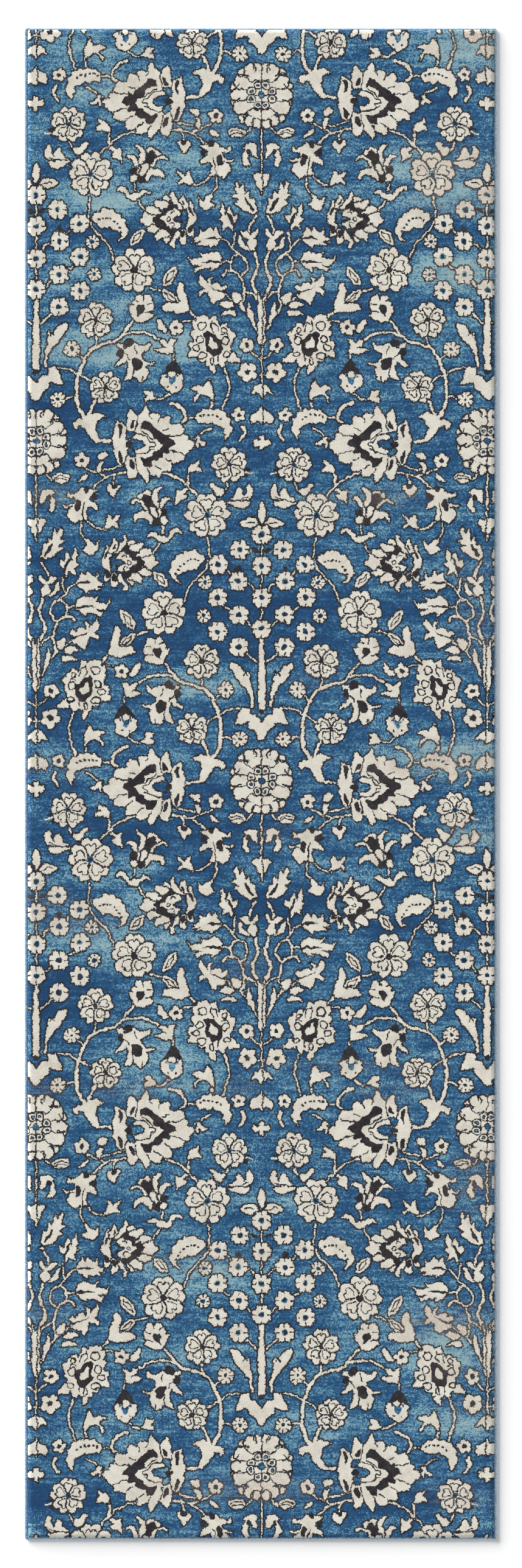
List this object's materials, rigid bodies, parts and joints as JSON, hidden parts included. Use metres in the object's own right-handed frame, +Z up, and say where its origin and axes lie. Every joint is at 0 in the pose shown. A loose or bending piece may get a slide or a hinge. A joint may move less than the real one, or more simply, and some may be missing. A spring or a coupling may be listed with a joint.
{
  "type": "runner rug",
  "caption": "Long narrow flat floor rug: short cut pile with an all-over pattern of pale flowers, trees and leaves on a darker field, bound with an overcast cord along every edge.",
  "frame": {"origin": "Middle of the rug's footprint on the floor; z = 0 is the plane it rests on.", "axes": "+Y runs along the rug's length towards its head end, +X across its width to the right seen from above with the head up, +Z up through the pile."},
  "size_m": [0.762, 2.438, 0.01],
  "materials": {
    "pile_blue": "short cut pile, matte, mottled from navy to pale blue",
    "pile_ivory": "short cut pile, matte",
    "pile_charcoal": "short cut pile, matte",
    "ground_jute": "plain woven jute",
    "stuffer_yarn": "spun polyester and cotton yarn",
    "latex": "thin matte back size, with the weft ribs showing",
    "edge_cord": "laid cotton cord",
    "serging_yarn": "wrapped yarn with a soft sheen",
    "label_cloth": "woven satin tape, blank",
    "label_thread": "sewing thread"
  },
  "bodies": {
    "root": {"pile_field": "pile_blue", "pile_rosettes": "pile_ivory", "pile_palmettes": "pile_ivory", "pile_blossoms": "pile_ivory", "pile_trees": "pile_ivory", "pile_leaves": "pile_ivory", "pile_charcoal_hearts": "pile_charcoal", "pile_blue_eyes": "pile_blue", "upper_weft_cloth": "ground_jute", "stuffer_warps": "stuffer_yarn", "lower_weft_cloth": "ground_jute", "back_coating": "latex", "edge_cord_left": "edge_cord", "edge_cord_right": "edge_cord", "end_cord_head": "edge_cord", "end_cord_foot": "edge_cord", "serging_left": "serging_yarn", "serging_right": "serging_yarn", "serging_head": "serging_yarn", "serging_foot": "serging_yarn", "corner_tacks": "serging_yarn", "care_label": "label_cloth", "label_stitching": "label_thread"}
  },
  "joints": []
}
